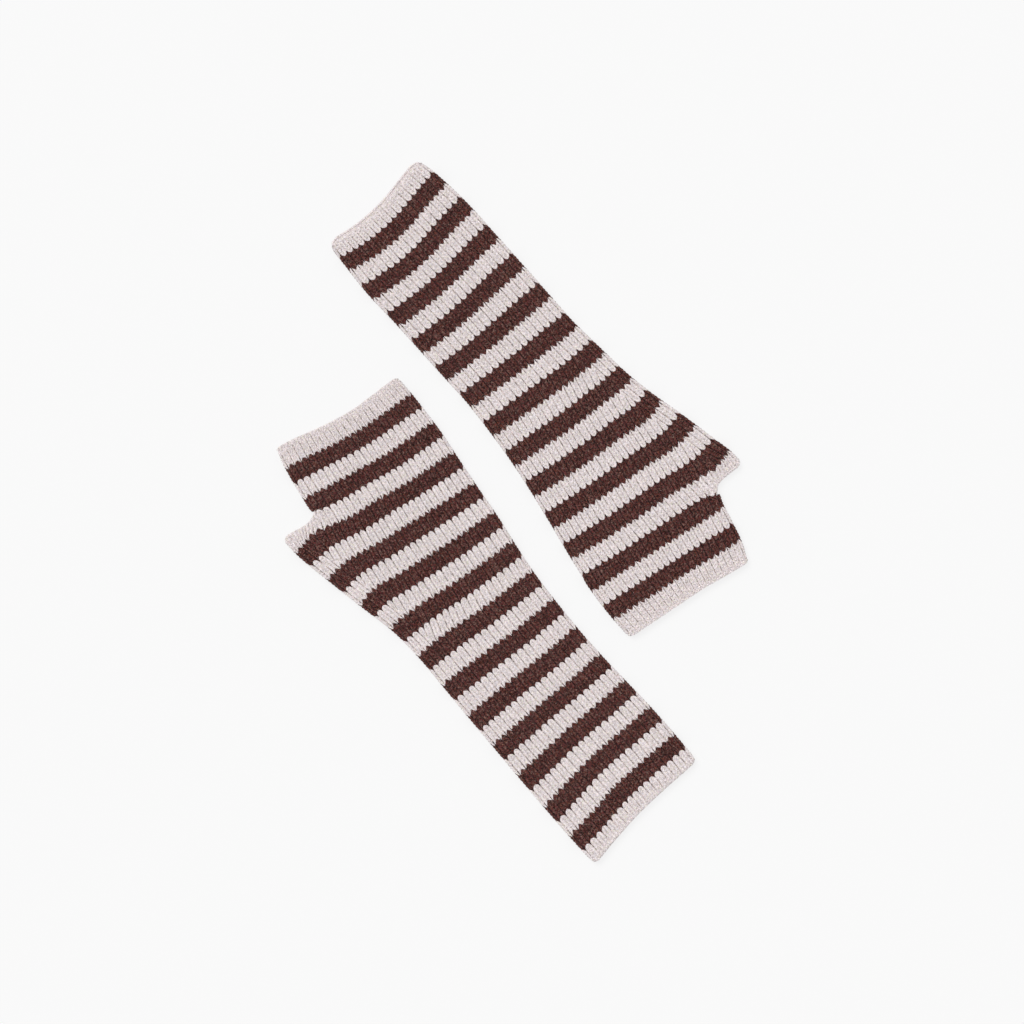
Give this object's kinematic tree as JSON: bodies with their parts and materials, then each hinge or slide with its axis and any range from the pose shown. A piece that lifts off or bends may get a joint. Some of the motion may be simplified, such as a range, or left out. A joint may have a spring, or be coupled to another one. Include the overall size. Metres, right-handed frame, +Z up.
{
  "type": "pair of fingerless wrist warmers",
  "caption": "Long ribbed-knit fingerless wrist warmers with a thumb opening, oatmeal with wide dark brown stripes, laid flat side by side at a slant",
  "frame": {"origin": "on the table under the middle of the pair's bounding box", "axes": "+Z up from the table, +Y up the picture and along the pair's longest extent, +X to the right in the picture; the lower left warmer's fingers point up and to the left, the upper right one's down and to the right"},
  "size_m": [0.2862, 0.426, 0.0056],
  "materials": {
    "oatmeal_wool": "matt melange wool knit, the ground colour of both warmers",
    "brown_wool": "matt dark heather wool knit, the stripes of both warmers"
  },
  "bodies": {
    "root": {"warmer_lower_left": "oatmeal_wool", "warmer_upper_right": "oatmeal_wool"}
  },
  "joints": []
}
